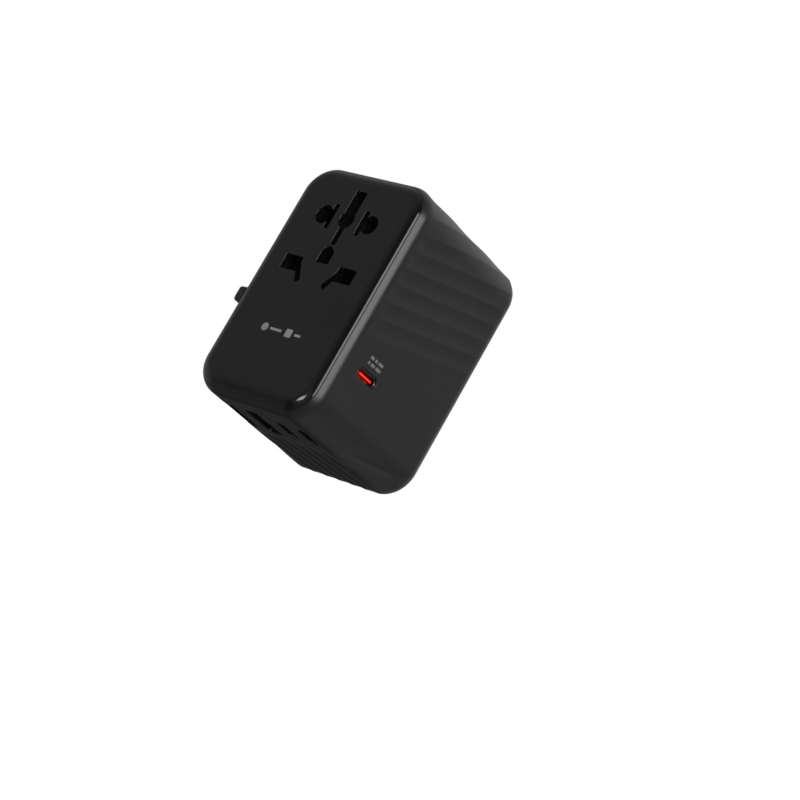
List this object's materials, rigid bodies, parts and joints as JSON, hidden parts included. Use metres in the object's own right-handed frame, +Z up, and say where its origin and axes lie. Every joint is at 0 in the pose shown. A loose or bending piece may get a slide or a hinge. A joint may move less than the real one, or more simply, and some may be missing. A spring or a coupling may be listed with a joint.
{
  "type": "universal travel adapter",
  "caption": "Block-shaped universal travel adapter: a multi-standard socket face, slide-out plug pins at the back, USB ports below and on one side.",
  "frame": {"origin": "centre of the flat underside, which carries the lower charging ports", "axes": "+Z up along the tall side, -Y towards the socket face, +Y backwards the way the plug pins come out, +X towards the side charging port"},
  "size_m": [0.0539, 0.054, 0.0774],
  "materials": {
    "gloss_black": "semi-gloss black moulded polycarbonate",
    "satin_black": "satin black fine-textured polycarbonate",
    "dark_plastic": "matt black insulating plastic",
    "grey_plastic": "dark grey insulating plastic",
    "white_plastic": "off-white insulating plastic",
    "red_plastic": "bright red moulded tongue",
    "brass": "stamped brass, lightly polished",
    "nickel": "nickel-plated metal",
    "spring_steel": "plain zinc-plated steel",
    "circuit_board": "green solder mask on glass-fibre board",
    "ceramic_tube": "off-white fired ceramic tube",
    "ferrite": "dark ferrite core with taped winding",
    "capacitor_sleeve": "shrink sleeve on an aluminium can",
    "copper_winding": "enamelled copper winding",
    "lead_insulation": "red insulated lead"
  },
  "bodies": {
    "housing": {"front_plate": "gloss_black", "main_shell": "satin_black", "rear_cover": "satin_black", "socket_core": "dark_plastic", "usb_a_tongue_1": "dark_plastic", "usb_a_tongue_2": "dark_plastic", "usb_c_tongue_1": "dark_plastic", "usb_c_tongue_2": "dark_plastic", "contact_block": "white_plastic", "side_usb_c_tongue": "red_plastic", "live_contact": "brass", "neutral_contact": "brass", "earth_contact": "brass", "live_busbar": "brass", "neutral_busbar": "brass", "earth_busbar": "brass", "fuse_contact_left": "brass", "fuse_contact_right": "brass", "usb_a_shell_1": "nickel", "usb_a_shell_2": "nickel", "usb_c_shell_1": "nickel", "usb_c_shell_2": "nickel", "side_usb_c_shell": "nickel", "shutter_spring": "spring_steel", "release_spring": "spring_steel", "rear_screw_1": "spring_steel", "rear_screw_2": "spring_steel", "rear_screw_3": "spring_steel", "rear_screw_4": "spring_steel", "usb_board": "circuit_board", "power_board": "circuit_board", "transformer": "ferrite", "capacitor_1": "capacitor_sleeve", "capacitor_2": "capacitor_sleeve", "choke": "copper_winding", "supply_lead_1": "lead_insulation", "supply_lead_2": "lead_insulation"},
    "shutter": {"safety_shutter": "dark_plastic"},
    "uk_plug": {"uk_carriage": "dark_plastic", "uk_knob": "dark_plastic", "uk_live_pin": "brass", "uk_neutral_pin": "brass", "uk_earth_pin": "brass"},
    "eu_plug": {"eu_carriage": "dark_plastic", "eu_knob": "dark_plastic", "eu_pin_left": "nickel", "eu_pin_right": "nickel"},
    "us_plug": {"us_carriage": "dark_plastic", "us_knob": "dark_plastic"},
    "left_blade": {"us_rotor_left": "grey_plastic", "us_blade_left": "brass"},
    "right_blade": {"us_rotor_right": "grey_plastic", "us_blade_right": "brass"},
    "release": {"release_button": "satin_black", "lock_bar": "grey_plastic"},
    "fuse_drawer": {"fuse_carrier": "satin_black", "fuse_tube": "ceramic_tube", "fuse_cap_left": "nickel", "fuse_cap_right": "nickel"}
  },
  "joints": [
    {"name": "shutter_slide", "type": "slide", "parent": "housing", "child": "shutter", "axis": [0, 0, -1], "range_m": [0, 0.0064], "stiffness_N_per_m": 60, "springref_m": -0.004, "deforming": ["shutter_spring"]},
    {"name": "uk_slide", "type": "slide", "parent": "housing", "child": "uk_plug", "axis": [0, 1, 0], "range_m": [0, 0.023]},
    {"name": "eu_slide", "type": "slide", "parent": "housing", "child": "eu_plug", "axis": [0, 1, 0], "range_m": [0, 0.0193]},
    {"name": "us_slide", "type": "slide", "parent": "housing", "child": "us_plug", "axis": [0, 1, 0], "range_m": [0, 0.0173]},
    {"name": "left_blade_turn", "type": "hinge", "parent": "us_plug", "child": "left_blade", "pos_m": [-0.00635, -0.006, 0.057], "axis": [0, -1, 0], "range_deg": [0, 30]},
    {"name": "right_blade_turn", "type": "hinge", "parent": "us_plug", "child": "right_blade", "pos_m": [0.00635, -0.006, 0.057], "axis": [0, 1, 0], "range_deg": [0, 30]},
    {"name": "release_press", "type": "slide", "parent": "housing", "child": "release", "axis": [1, 0, 0], "range_m": [0, 0.0012], "stiffness_N_per_m": 400, "springref_m": -0.001, "deforming": ["release_spring"]},
    {"name": "fuse_pull", "type": "slide", "parent": "housing", "child": "fuse_drawer", "axis": [0, 1, 0], "range_m": [0, 0.014]}
  ]
}
